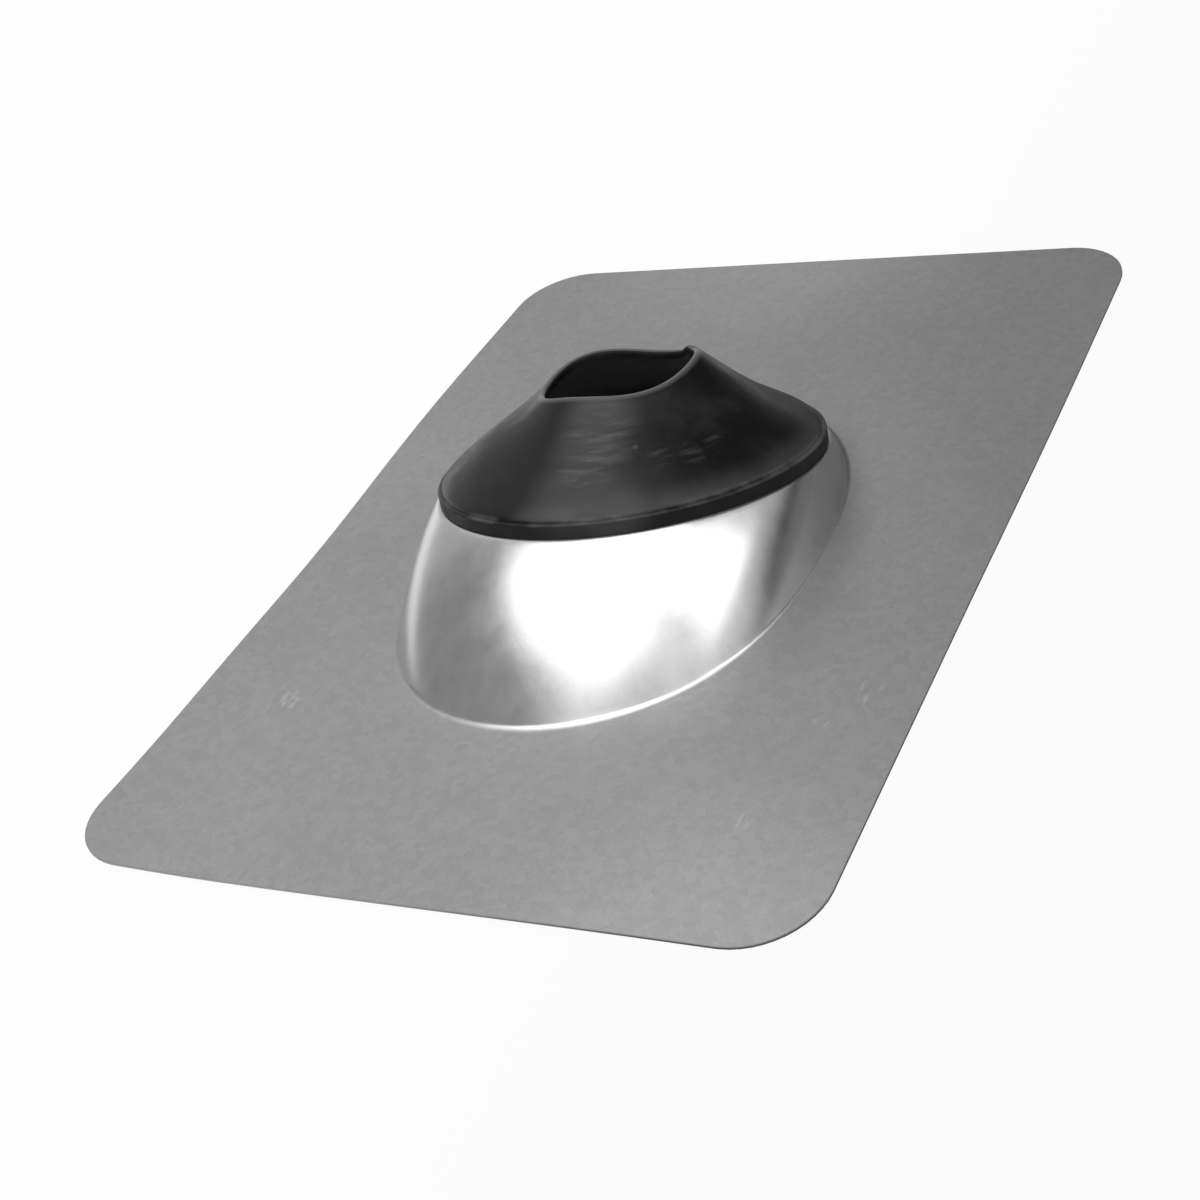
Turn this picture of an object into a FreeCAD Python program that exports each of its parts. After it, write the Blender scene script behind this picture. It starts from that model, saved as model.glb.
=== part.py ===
"""Pipe flashing boot for a 2 inch vent pipe.

Two physical pieces: a base drawn from one galvanised sheet, and a moulded
rubber collar whose grooved foot is pushed over the turned-up neck of the base.

Frame: millimetres, +Z up. The origin is the centre of the sheet's underside.
+Y runs along the long edge, up the roof slope; +X runs along the short edge.
The pipe axis leans towards +Y by ROOF_TILT and passes through the rim centre.
"""
import FreeCAD, Part

import math
import os

from FreeCAD import Vector

# ---- base sheet ----
SHEET = 0.6                  # thickness of the galvanised sheet
PLATE_WIDTH = 228.6          # short edge, along X
PLATE_LENGTH = 317.5         # long edge, along Y
PLATE_CORNER_RADIUS = 22.0

# ---- tilted rim, square to the pipe ----
ROOF_TILT = 15.0             # degrees between the rim's axis and +Z
RIM_CENTRE_Y = 7.6           # rim centre, up-slope of the sheet's centre
RIM_BACK_RISE = 2.0          # lowest point of the rim above the top of the sheet
RIM_LEDGE = 0.7              # flat ring that stays visible outside the collar

# ---- wall of the dome, in plan from the rim out to the foot line ----
FOOT_RUN_SIDE = 5.2
FOOT_RUN_FRONT = 43.5        # down-slope side, where the dome is long and low
FOOT_RUN_BACK = 5.0          # up-slope side
FOOT_STRAIGHTNESS = 3.0      # higher gives the oval longer straight sides
FOOT_FILLET = 3.8            # concave radius at the foot of a tall wall
WALL_BULGE = 0.12            # bulge of the wall, as a share of its slope length

# ---- turned-up neck of the base ----
NECK_RADIUS = 56.6           # outside radius
NECK_HEIGHT = 3.0            # above the rim's flat ring
NECK_BEND = 1.0              # outside bend radius between ring and neck

# ---- rubber collar ----
HOLE_RADIUS = 23.0           # free size; the rubber stretches over the pipe
HOLE_LENGTH = 2.4            # straight wall of the hole
LIP_WALL = 1.6               # rubber around the hole
COLLAR_RISE = 29.4           # rim plane to the top of the lip
CONE_WALL = 2.2
CONE_KNEE = 0.14             # steep start of the cone, as a share of its climb
CONE_KNEE_LEAN = 0.6         # inward lean of that steep start
CONE_BELLY = 0.42            # height of the cone's middle, as a share of its climb
BAND_WALL = 2.6              # rubber outside the groove
BAND_HEIGHT = 4.2
BAND_ROUND = 0.8             # rounded top edge of the band
BAND_STEP = 0.5              # step from the band's top in to the cone
FOOT_WALL = 2.4              # rubber inside the groove
GROOVE_CLEARANCE = 0.1       # on each side of the neck and above it

# ---- detail of the lofted dome ----
LOOP_POINTS = 48             # points on each closed section curve
ZONE_SECTIONS = 4            # steps between the sections of the foot or the wall
SETTLING_ROUNDS = 12         # rounds in which the wall finds its end slopes
SEAM_TOLERANCE = 0.001       # for joining the faces of the sheet

# ---- sizes that follow from the ones above ----
NECK_INSIDE = NECK_RADIUS - SHEET
BEND_EDGE = NECK_RADIUS + NECK_BEND
BAND_RADIUS = NECK_RADIUS + GROOVE_CLEARANCE + BAND_WALL
RIM_RADIUS = BAND_RADIUS + RIM_LEDGE
TILT = math.radians(ROOF_TILT)
UP = Vector(0, 0, 1)
RIM_CENTRE_RISE = RIM_BACK_RISE + RIM_RADIUS * math.sin(TILT)
RIM_CENTRE = Vector(0, RIM_CENTRE_Y, SHEET + RIM_CENTRE_RISE)
RIM_AXIS = Vector(0, math.sin(TILT), math.cos(TILT))
DOWNSLOPE = Vector(0, -math.cos(TILT), math.sin(TILT))


# ---------------------------------------------------------------- the drawn dome

def foot_point(angle):
    """Plan position of the foot line: a long oval round the rim."""
    half_width = RIM_RADIUS + FOOT_RUN_SIDE
    rim_depth = RIM_RADIUS * math.cos(TILT)
    front_centre = RIM_CENTRE_Y - rim_depth - FOOT_RUN_FRONT + half_width
    back_centre = RIM_CENTRE_Y + rim_depth + FOOT_RUN_BACK - half_width
    middle = (back_centre + front_centre) / 2
    half_gap = (back_centre - front_centre) / 2
    share = math.tanh(FOOT_STRAIGHTNESS * math.sin(angle)) / math.tanh(FOOT_STRAIGHTNESS)
    return Vector(half_width * math.cos(angle),
                  middle + half_gap * share + half_width * math.sin(angle), 0)


def rim_point(angle):
    """Plan position of the rim circle."""
    return Vector(RIM_RADIUS * math.cos(angle),
                  RIM_CENTRE_Y + RIM_RADIUS * math.sin(angle) * math.cos(TILT), 0)


def outward(slope):
    """Direction square to a line of a section, on its outer side."""
    return Vector(-math.sin(slope), math.cos(slope), 0)


def wall_profile(run, rise, ring_slope, stage):
    """Inward distance and height on one upright section of the wall.

    Stage 0 to 1 is the concave foot and 1 to 2 the slightly bulged wall, which
    ends at (run, rise) on the edge of the rim's flat ring.
    """
    fillet = FOOT_FILLET * rise / (rise + FOOT_FILLET)
    foot_centre = Vector(0, fillet, 0)
    end = Vector(run, rise, 0)
    full_swing = math.atan(2 * WALL_BULGE)
    foot_slope = math.atan2(rise, run)
    for _ in range(SETTLING_ROUNDS):
        start = foot_centre - outward(foot_slope) * fillet
        chord = end - start
        slope = math.atan2(chord.y, chord.x)
        swing = full_swing * math.tanh((slope - ring_slope) / (2 * full_swing))
        foot_slope = slope + swing
    if stage <= 1:
        return foot_centre - outward(foot_slope * stage) * fillet
    share = stage - 1
    crown = (start + end) / 2 + outward(slope) * (chord.Length * math.tan(swing) / 2)
    return start * (1 - share) ** 2 + crown * (2 * share * (1 - share)) + end * share ** 2


def wall_point(angle, stage):
    """Point on top of the sheet; stage 0 is the foot line and 2 the rim."""
    foot, rim = foot_point(angle), rim_point(angle)
    inward = rim - foot
    run = inward.Length
    inward.normalize()
    rise = RIM_CENTRE_RISE - (rim.y - RIM_CENTRE_Y) * math.tan(TILT)
    ring_slope = math.atan(-inward.y * math.tan(TILT))
    section_point = wall_profile(run, rise, ring_slope, stage)
    return foot + inward * section_point.x + UP * (SHEET + section_point.y)


def sheet_point(angle, stage, depth):
    """Point at a depth below the top of the sheet, mitred at the foot line and rim."""
    here = wall_point(angle, stage)
    step = 1e-4
    low, high = max(stage - step, 0), min(stage + step, 2)
    around = wall_point(angle + step, stage) - wall_point(angle - step, stage)
    square = around.cross(wall_point(angle, high) - wall_point(angle, low)).normalize()
    beside = {0: UP, 2: RIM_AXIS}.get(stage, square)
    return here - (square + beside) * (depth / (1 + square.dot(beside)))


def section(stage, depth):
    """Closed section curve round the dome; all sections share their knots."""
    turns = [index / LOOP_POINTS for index in range(LOOP_POINTS + 1)]
    curve = Part.BSplineCurve()
    curve.interpolate(Points=[sheet_point(2 * math.pi * turn, stage, depth) for turn in turns[:-1]],
                      PeriodicFlag=True, Parameters=turns)
    return curve


def zone_face(zone, depth):
    """Face of the concave foot (0) or of the wall (1)."""
    rings = [section(zone + index / ZONE_SECTIONS, depth) for index in range(ZONE_SECTIONS + 1)]
    stations = [0.0]
    for lower, upper in zip(rings, rings[1:]):
        gaps = [(a - b).Length for a, b in zip(lower.getPoles(), upper.getPoles())]
        stations.append(stations[-1] + sum(gaps) / len(gaps))
    columns = []
    for poles in zip(*(ring.getPoles() for ring in rings)):
        column = Part.BSplineCurve()
        column.interpolate(Points=list(poles), Parameters=stations)
        columns.append(column)
    surface = Part.BSplineSurface()
    surface.buildFromPolesMultsKnots(
        [column.getPoles() for column in columns],
        rings[0].getMultiplicities(), columns[0].getMultiplicities(),
        rings[0].getKnots(), columns[0].getKnots(),
        True, False, rings[0].Degree, columns[0].Degree)
    return surface.toShape()


def end_loop(face, highest):
    """Closed edge at the top or the bottom of a face of the dome."""
    closed = [edge for edge in face.Edges if edge.Closed]
    return Part.Wire([(max if highest else min)(closed, key=lambda edge: edge.BoundBox.ZMax)])


def holed(outer, hole):
    """Flat face between two closed wires."""
    return Part.makeFace([outer, hole], "Part::FaceMakerBullseye")


def plate_outline(height):
    """Rounded rectangle of the sheet."""
    blank = Part.makePlane(PLATE_WIDTH, PLATE_LENGTH,
                           Vector(-PLATE_WIDTH / 2, -PLATE_LENGTH / 2, height))
    block = blank.extrude(UP * SHEET)
    uprights = [edge for edge in block.Edges if edge.BoundBox.ZLength > SHEET / 2]
    rounded = block.makeFillet(PLATE_CORNER_RADIUS, uprights)
    return min(rounded.Faces, key=lambda face: face.CenterOfMass.z).OuterWire


# ------------------------------------------------- shapes turned about the pipe axis

def beside_axis(radius, along):
    """Point beside the pipe axis, along is measured from the rim's plane."""
    return RIM_CENTRE + DOWNSLOPE * radius + RIM_AXIS * along


def line(start, end):
    """Straight edge between two (radius, along) pairs."""
    return Part.LineSegment(beside_axis(*start), beside_axis(*end)).toShape()


def quarter(start, centre, end):
    """Quarter-circle edge between two (radius, along) pairs."""
    bend = math.hypot(start[0] - centre[0], start[1] - centre[1])
    middle = ((start[0] + end[0]) / 2 - centre[0], (start[1] + end[1]) / 2 - centre[1])
    scale = bend / math.hypot(*middle)
    through = (centre[0] + middle[0] * scale, centre[1] + middle[1] * scale)
    return Part.Arc(beside_axis(*start), beside_axis(*through), beside_axis(*end)).toShape()


def bezier(controls):
    """Bezier edge through (radius, along) control points."""
    curve = Part.BezierCurve()
    curve.setPoles([beside_axis(*control) for control in controls])
    return curve.toShape()


def turned(edges):
    """Solid of revolution about the pipe axis from a closed outline."""
    return Part.Face(Part.Wire(edges)).revolve(RIM_CENTRE, RIM_AXIS, 360)


def outline(points):
    """Closed chain of straight edges through (radius, along) pairs."""
    return [line(start, end) for start, end in zip(points, points[1:] + points[:1])]


def pipe_cylinder(radius, low, high):
    """Cylinder on the pipe axis between two heights."""
    return Part.makeCylinder(radius, high - low, RIM_CENTRE + RIM_AXIS * low, RIM_AXIS)


# ------------------------------------------------------------------- the two pieces

def neck_faces():
    """Faces of the turned-up neck and its bend, open where the flat ring joins."""
    centre = (BEND_EDGE, NECK_BEND)
    profile = Part.Wire([
        quarter((BEND_EDGE, -SHEET), centre, (NECK_INSIDE, NECK_BEND)),
        line((NECK_INSIDE, NECK_BEND), (NECK_INSIDE, NECK_HEIGHT)),
        line((NECK_INSIDE, NECK_HEIGHT), (NECK_RADIUS, NECK_HEIGHT)),
        line((NECK_RADIUS, NECK_HEIGHT), (NECK_RADIUS, NECK_BEND)),
        quarter((NECK_RADIUS, NECK_BEND), centre, (BEND_EDGE, 0)),
    ])
    return profile.revolve(RIM_CENTRE, RIM_AXIS, 360).Faces


def base_flashing():
    """One sheet: flat plate, drawn dome with a tilted rim, and turned-up neck."""
    edge = plate_outline(0).extrude(UP * SHEET)
    faces = neck_faces() + edge.Faces
    for depth in (0, SHEET):
        foot, wall = zone_face(0, depth), zone_face(1, depth)
        bend = Part.Circle(RIM_CENTRE - RIM_AXIS * depth, RIM_AXIS, BEND_EDGE).toShape()
        faces += [foot, wall]
        faces.append(holed(plate_outline(SHEET - depth), end_loop(foot, highest=False)))
        faces.append(holed(end_loop(wall, highest=True), Part.Wire([bend])))
    joined = Part.Compound(faces)
    joined.sewShape(SEAM_TOLERANCE)
    return Part.Solid(joined.Shells[0])


def cone_controls():
    """Control points of the cone's outside, from the band up to the lip."""
    start = (BAND_RADIUS - BAND_ROUND - BAND_STEP, BAND_HEIGHT)
    end = (HOLE_RADIUS + LIP_WALL, COLLAR_RISE)
    climb = end[1] - start[1]
    knee = (start[0] - CONE_KNEE_LEAN, start[1] + CONE_KNEE * climb)
    belly = ((start[0] + end[0]) / 2, start[1] + CONE_BELLY * climb)
    return [start, knee, belly, end]


def moved_inside(controls, wall):
    """Control points moved by a wall's thickness, square to their polygon."""
    moved = []
    for index, (radius, along) in enumerate(controls):
        before = controls[max(index - 1, 0)]
        after = controls[min(index + 1, len(controls) - 1)]
        step = (after[0] - before[0], after[1] - before[1])
        length = math.hypot(*step)
        moved.append((radius - step[1] / length * wall, along + step[0] / length * wall))
    return moved


def collar_body():
    """Collar with no hollow: band, cone and lip."""
    cone = cone_controls()
    round_start = (BAND_RADIUS, BAND_HEIGHT - BAND_ROUND)
    round_end = (BAND_RADIUS - BAND_ROUND, BAND_HEIGHT)
    return turned([
        line((0, 0), (BAND_RADIUS, 0)),
        line((BAND_RADIUS, 0), round_start),
        quarter(round_start, (round_end[0], round_start[1]), round_end),
        line(round_end, cone[0]),
        bezier(cone),
        line(cone[-1], (0, COLLAR_RISE)),
        line((0, COLLAR_RISE), (0, 0)),
    ])


def collar_hollow():
    """Space under the cone, inside the foot and below the hole's wall."""
    inside = moved_inside(cone_controls(), CONE_WALL)
    low = -CONE_WALL
    under_cone = turned([
        line((0, low), (inside[0][0], low)),
        line((inside[0][0], low), inside[0]),
        bezier(inside),
        line(inside[-1], (0, inside[-1][1])),
        line((0, inside[-1][1]), (0, low)),
    ])
    foot_inside = NECK_INSIDE - GROOVE_CLEARANCE - FOOT_WALL
    return under_cone.common(pipe_cylinder(foot_inside, low, COLLAR_RISE - HOLE_LENGTH))


def neck_groove():
    """Groove for the neck, flared at its mouth to clear the neck's bend."""
    inner = NECK_INSIDE - GROOVE_CLEARANCE
    outer = NECK_RADIUS + GROOVE_CLEARANCE
    top = NECK_HEIGHT + GROOVE_CLEARANCE
    return turned(outline([(inner, 0), (outer + NECK_BEND, 0), (outer, NECK_BEND),
                           (outer, top), (inner, top)]))


def rubber_collar():
    """Moulded collar that seals on the pipe."""
    hole = pipe_cylinder(HOLE_RADIUS, 0, COLLAR_RISE)
    return collar_body().cut(collar_hollow()).cut(neck_groove()).cut(hole)


os.makedirs("parts", exist_ok=True)
PIECES = {"base_flashing": base_flashing, "rubber_collar": rubber_collar}
for name, make in PIECES.items():
    shape = make()
    shape.exportStep(f"parts/{name}.step")
    print(name, "solids", len(shape.Solids), "valid", shape.isValid(),
          "volume mm3", round(shape.Volume), shape.BoundBox)
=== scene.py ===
"""Looks of a pipe flashing boot: a drawn galvanised sheet with a rubber collar.

Shapes are worked out in millimetres in the frame's own axes and written in
metres: +Z up, the origin at the centre of the sheet's underside, +Y up the
roof slope. The pipe axis leans towards +Y by the tilt of the rim.
"""

import logging
import math
from dataclasses import dataclass
from enum import Enum
from typing import Iterable, Sequence

import bpy
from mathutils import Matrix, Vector


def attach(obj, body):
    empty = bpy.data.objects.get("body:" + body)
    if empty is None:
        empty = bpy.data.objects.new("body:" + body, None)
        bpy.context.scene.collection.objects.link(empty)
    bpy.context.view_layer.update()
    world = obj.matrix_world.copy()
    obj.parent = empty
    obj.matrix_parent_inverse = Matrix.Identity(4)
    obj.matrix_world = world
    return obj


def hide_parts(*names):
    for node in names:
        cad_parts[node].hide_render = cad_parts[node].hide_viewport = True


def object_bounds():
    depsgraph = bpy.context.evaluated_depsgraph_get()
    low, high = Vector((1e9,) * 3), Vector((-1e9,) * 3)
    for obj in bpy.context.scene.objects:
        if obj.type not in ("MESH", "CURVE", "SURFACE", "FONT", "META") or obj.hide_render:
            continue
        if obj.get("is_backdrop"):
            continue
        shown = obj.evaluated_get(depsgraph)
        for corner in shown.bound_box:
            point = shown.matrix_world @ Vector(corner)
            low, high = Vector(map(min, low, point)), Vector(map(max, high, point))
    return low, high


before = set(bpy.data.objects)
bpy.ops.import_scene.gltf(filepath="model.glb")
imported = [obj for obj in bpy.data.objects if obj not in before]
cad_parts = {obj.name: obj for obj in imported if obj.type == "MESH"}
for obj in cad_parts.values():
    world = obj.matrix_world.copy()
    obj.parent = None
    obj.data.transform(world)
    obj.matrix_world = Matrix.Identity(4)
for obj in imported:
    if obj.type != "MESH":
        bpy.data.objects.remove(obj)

LOG = logging.getLogger("flashing")
MM = 0.001
FULL_TURN = 2 * math.pi
SHEET = 0.6
ZENITH = 90
NEARLY_UPRIGHT = 1e-4
WHITE = (1, 1, 1, 1)


class Node(str, Enum):
    """CAD nodes that the visual pieces stand for."""

    BASE = "base_flashing"
    COLLAR = "rubber_collar"


class Slot(str, Enum):
    """Material slots of the record."""

    SHEET = "galvanised_sheet"
    RUBBER = "collar_rubber"


class Mark(str, Enum):
    """Point attributes that the materials read."""

    DRAWN = "drawn"
    CUT = "cut"
    ALONG = "along"
    LIP = "lip"


def smooth(value: float, low: float, high: float) -> float:
    """Smooth step of a value from 0 at low to 1 at high."""
    share = min(max((value - low) / (high - low), 0.0), 1.0)
    return share * share * (3 - 2 * share)


def bend(start: Vector, corner: Vector, end: Vector, share: float) -> Vector:
    """Point on the curve that rounds a corner between two points."""
    return start * (1 - share) ** 2 + corner * (2 * share * (1 - share)) + end * share ** 2


# ------------------------------------------------------------------- the shapes

@dataclass(frozen=True)
class Rim:
    """The tilted circle that the dome, the neck and the collar share."""

    tilt: float = math.radians(15)
    centre_y: float = 7.6
    radius: float = 60.0
    back_rise: float = 2.0
    sheet: float = SHEET

    @property
    def rise(self) -> float:
        """Height of the rim's centre above the top of the sheet."""
        return self.back_rise + self.radius * math.sin(self.tilt)

    @property
    def centre(self) -> Vector:
        """Centre of the rim in the frame."""
        return Vector((0, self.centre_y, self.sheet + self.rise))

    @property
    def axis(self) -> Vector:
        """Direction of the pipe."""
        return Vector((0, math.sin(self.tilt), math.cos(self.tilt)))

    def place(self, angle: float, radius: float, along: float) -> Vector:
        """Point at a radius from the pipe axis and a height above the rim's plane.

        Args:
            angle: turn about the axis, 0 towards +X and a quarter turn up the slope.
            radius: distance from the axis.
            along: distance from the rim's plane.

        Returns:
            The point in the frame.
        """
        upslope = Vector((0, math.cos(self.tilt), -math.sin(self.tilt)))
        side = Vector((1, 0, 0)) * (radius * math.cos(angle))
        return self.centre + side + upslope * (radius * math.sin(angle)) + self.axis * along


@dataclass(frozen=True)
class Wall:
    """The drawn wall of the dome, from its foot line up to the rim."""

    rim: Rim
    side_run: float = 5.2
    front_run: float = 43.5
    back_run: float = 5.0
    straightness: float = 3.0
    fillet: float = 3.8
    bulge: float = 0.12
    rounds: int = 12
    step: float = 1e-4

    def foot(self, angle: float) -> Vector:
        """Foot line in plan: a long oval round the rim."""
        half_width = self.rim.radius + self.side_run
        depth = self.rim.radius * math.cos(self.rim.tilt)
        front = self.rim.centre_y - depth - self.front_run + half_width
        back = self.rim.centre_y + depth + self.back_run - half_width
        share = math.tanh(self.straightness * math.sin(angle)) / math.tanh(self.straightness)
        middle, half_gap = (back + front) / 2, (back - front) / 2
        return Vector((half_width * math.cos(angle),
                       middle + half_gap * share + half_width * math.sin(angle), 0))

    def profile(self, run: float, rise: float, ring_slope: float, stage: float) -> Vector:
        """Inward distance and height on one upright section.

        Args:
            run: plan distance from the foot line to the rim.
            rise: height of the rim above the top of the sheet.
            ring_slope: slope angle of the rim's plane along the section.
            stage: 0 to 1 is the concave foot, 1 to 2 the slightly bulged wall.

        Returns:
            Distance in from the foot line and height above the sheet.
        """
        fillet = self.fillet * rise / (rise + self.fillet)
        end = Vector((run, rise))
        full_swing = math.atan(2 * self.bulge)
        foot_slope = math.atan2(rise, run)
        for _ in range(self.rounds):
            start = Vector((fillet * math.sin(foot_slope), fillet * (1 - math.cos(foot_slope))))
            chord = end - start
            slope = math.atan2(chord.y, chord.x)
            swing = full_swing * math.tanh((slope - ring_slope) / (2 * full_swing))
            foot_slope = slope + swing
        if stage <= 1:
            turn = foot_slope * stage
            return Vector((fillet * math.sin(turn), fillet * (1 - math.cos(turn))))
        outward = Vector((-math.sin(slope), math.cos(slope)))
        crown = (start + end) / 2 + outward * (chord.length * math.tan(swing) / 2)
        return bend(start, crown, end, stage - 1)

    def top(self, angle: float, stage: float) -> Vector:
        """Point on the upper skin; stage 0 is the foot line and 2 the rim."""
        foot = self.foot(angle)
        rim = Vector((self.rim.radius * math.cos(angle),
                      self.rim.centre_y + self.rim.radius * math.sin(angle) * math.cos(self.rim.tilt),
                      0))
        inward = (rim - foot).normalized()
        ring_slope = math.atan(-inward.y * math.tan(self.rim.tilt))
        rise = self.rim.rise - (rim.y - self.rim.centre_y) * math.tan(self.rim.tilt)
        section = self.profile((rim - foot).length, rise, ring_slope, stage)
        place = foot + inward * section.x
        return Vector((place.x, place.y, self.rim.sheet + section.y))

    def skin(self, angle: float, stage: float, depth: float) -> Vector:
        """Point at a depth under the upper skin, mitred at the foot line and the rim."""
        here = self.top(angle, stage)
        around = self.top(angle + self.step, stage) - self.top(angle - self.step, stage)
        upward = (self.top(angle, min(stage + self.step, 2))
                  - self.top(angle, max(stage - self.step, 0)))
        square = around.cross(upward).normalized()
        beside = {0: Vector((0, 0, 1)), 2: self.rim.axis}.get(stage, square)
        return here - (square + beside) * (depth / (1 + square.dot(beside)))


@dataclass(frozen=True)
class Lift:
    """A place where the thin sheet doesn't lie quite flat."""

    x: float
    y: float
    reach: float
    height: float

    def at(self, x: float, y: float) -> float:
        """Height that this place adds at a point of the sheet."""
        return self.height * math.exp(-((x - self.x) ** 2 + (y - self.y) ** 2) / self.reach ** 2)


@dataclass(frozen=True)
class Plate:
    """The flat flange with its rounded corners and slight waves."""

    width: float = 228.6
    length: float = 317.5
    corner: float = 22.0
    lifts: tuple[Lift, ...] = (
        Lift(-114, 70, 60, 1.3),
        Lift(-114, -15, 45, -1.0),
        Lift(114, 60, 80, -1.3),
        Lift(60, -158, 60, 0.6),
        Lift(-114, -158, 36, 1.8),
    )
    wave_fade: float = 1.5

    def edge(self, angle: float) -> Vector:
        """Point on the outline whose share of the outline's length follows the angle."""
        straight = (self.length / 2 - self.corner, self.width / 2 - self.corner)
        arc = math.pi / 2 * self.corner
        quarter = straight[0] + arc + straight[1]
        turn = angle / (math.pi / 2) % 4
        odd = int(turn) % 2 == 1
        travel = (1 - turn % 1 if odd else turn % 1) * quarter
        if travel < straight[0]:
            x, y = self.width / 2, travel
        elif travel > straight[0] + arc:
            x, y = quarter - travel, self.length / 2
        else:
            swing = (travel - straight[0]) / self.corner
            x = straight[1] + self.corner * math.cos(swing)
            y = straight[0] + self.corner * math.sin(swing)
        return Vector((x if turn < 1 or turn >= 3 else -x, y if turn < 2 else -y, 0))

    def height(self, place: Vector, share: float) -> float:
        """Height of the sheet's waves, which fade towards the foot of the dome."""
        return sum(lift.at(place.x, place.y) for lift in self.lifts) * share ** self.wave_fade


def closed_grid(name: str, columns: Sequence[Sequence[Vector]],
                marks: dict[Mark, Sequence[Sequence[float]]], sharp: float) -> bpy.types.Object:
    """Mesh from columns of points that join round in both directions.

    Args:
        name: name of the object.
        columns: the columns in order, each the same number of points in millimetres.
        marks: point attributes, in the same order as the points.
        sharp: angle between faces above which their edge stays sharp.

    Returns:
        The object, linked to the scene.
    """
    height = len(columns[0])
    points = [tuple(point * MM) for column in columns for point in column]
    faces = []
    for index in range(len(columns)):
        here, after = index * height, (index + 1) % len(columns) * height
        for row in range(height):
            up = (row + 1) % height
            faces.append((here + row, after + row, after + up, here + up))
    mesh = bpy.data.meshes.new(name)
    mesh.from_pydata(points, [], faces)
    for mark, values in marks.items():
        flat = [value for column in values for value in column]
        mesh.attributes.new(mark.value, "FLOAT", "POINT").data.foreach_set("value", flat)
    return finished(name, mesh, sharp)


def finished(name: str, mesh: bpy.types.Mesh, sharp: float) -> bpy.types.Object:
    """Object in the scene, with smooth faces and sharp edges above an angle."""
    mesh.update()
    mesh.shade_smooth()
    mesh.set_sharp_from_angle(angle=sharp)
    piece = bpy.data.objects.new(name, mesh)
    bpy.context.scene.collection.objects.link(piece)
    return piece


@dataclass(frozen=True)
class BaseSheet:
    """The base: one sheet with a plate, a drawn dome and a turned-up neck."""

    rim: Rim
    wall: Wall
    plate: Plate
    neck_radius: float = 56.6
    neck_height: float = 3.0
    bend: float = 1.0
    columns: int = 384
    plate_rows: int = 14
    foot_rows: int = 8
    wall_rows: int = 32
    wall_top: float = 0.975
    ring_bend: float = 0.6
    bend_rows: int = 4
    plate_ease: float = 1.3
    drawn_from: float = 0.05
    drawn_to: float = 0.90
    sharp: float = math.radians(35)

    def neck(self, angle: float) -> list[Vector]:
        """Points of one column from the rim over the neck and back under the rim."""
        sheet = self.rim.sheet
        centre = self.neck_radius + self.bend
        turns = (0, math.pi / 6, math.pi / 3, math.pi / 2)
        outer = [(centre - self.bend * math.sin(turn), self.bend * (1 - math.cos(turn)))
                 for turn in turns]
        reach = self.bend + sheet
        inner = [(centre - reach * math.sin(turn), self.bend - reach * math.cos(turn))
                 for turn in reversed(turns)]
        top = [(self.neck_radius, self.neck_height), (self.neck_radius - sheet, self.neck_height)]
        return [self.rim.place(angle, *pair) for pair in outer + top + inner]

    def column(self, angle: float) -> tuple[list[Vector], list[float], list[float]]:
        """Points, drawn share and cut share of one column, once round the sheet."""
        edge, foot = self.plate.edge(angle), self.wall.foot(angle)
        shares = [1 - (row / self.plate_rows) ** self.plate_ease for row in range(self.plate_rows)]
        stages = [row / self.foot_rows for row in range(self.foot_rows)]
        stages += [1 + row / self.wall_rows * self.wall_top for row in range(self.wall_rows + 1)]
        top, bottom = [], []
        for share in shares:
            place = foot.lerp(edge, share)
            wave = self.plate.height(place, share)
            top.append(Vector((place.x, place.y, self.rim.sheet + wave)))
            bottom.append(Vector((place.x, place.y, wave)))
        for rows, depth in ((top, 0.0), (bottom, self.rim.sheet)):
            rows += [self.wall.skin(angle, stage, depth) for stage in stages]
            crease = self.wall.skin(angle, 2, depth)
            ring = self.rim.place(angle, self.rim.radius - self.ring_bend, -depth)
            rows += [bend(rows[-1], crease, ring, step / self.bend_rows)
                     for step in range(1, self.bend_rows + 1)]
        drawn = [0.0] * len(shares)
        drawn += [smooth(stage, self.drawn_from, self.drawn_to) for stage in stages]
        drawn += [1.0] * self.bend_rows
        neck = self.neck(angle)
        points = top + neck + bottom[::-1]
        cut = [1.0] + [0.0] * (len(points) - 2) + [1.0]
        return points, drawn + [1.0] * len(neck) + drawn[::-1], cut

    def build(self) -> bpy.types.Object:
        """The finished sheet."""
        made = [self.column(index / self.columns * FULL_TURN) for index in range(self.columns)]
        points, drawn, cut = zip(*made)
        marks = {Mark.DRAWN: drawn, Mark.CUT: cut}
        return closed_grid("flashing_sheet", points, marks, self.sharp)


# ------------------------------------------------------------- node tree helpers

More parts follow.
